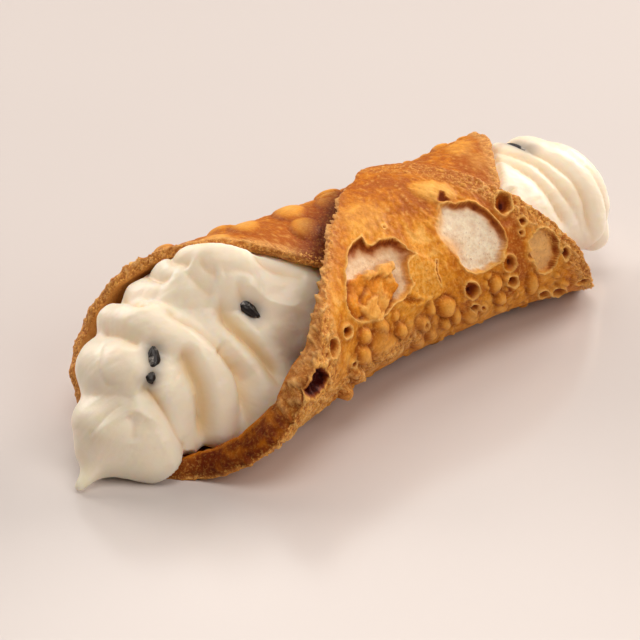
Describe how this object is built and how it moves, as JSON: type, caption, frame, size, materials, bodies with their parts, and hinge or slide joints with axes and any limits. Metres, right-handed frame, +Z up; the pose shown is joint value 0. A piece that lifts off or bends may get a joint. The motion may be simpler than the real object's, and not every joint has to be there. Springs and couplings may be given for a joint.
{
  "type": "cannoli",
  "caption": "Fried pastry tube wrapped from one disc of blistered dough, its lips open at both ends, filled with piped ricotta cream that holds chocolate chips.",
  "frame": {"origin": "middle of the flat strip underneath that the shell rests on", "axes": "+X along the tube to its far end, -Y towards the side the outer flap comes up, +Z up"},
  "size_m": [0.1482, 0.0541, 0.0388],
  "materials": {
    "crust": "golden brown fried dough, slightly oily, with pale blisters and dark valleys",
    "cream": "smooth moist ivory ricotta cream, soft sheen",
    "chocolate": "dark chocolate, partly smeared with cream"
  },
  "bodies": {
    "root": {"shell": "crust", "filling": "cream"}
  },
  "joints": []
}
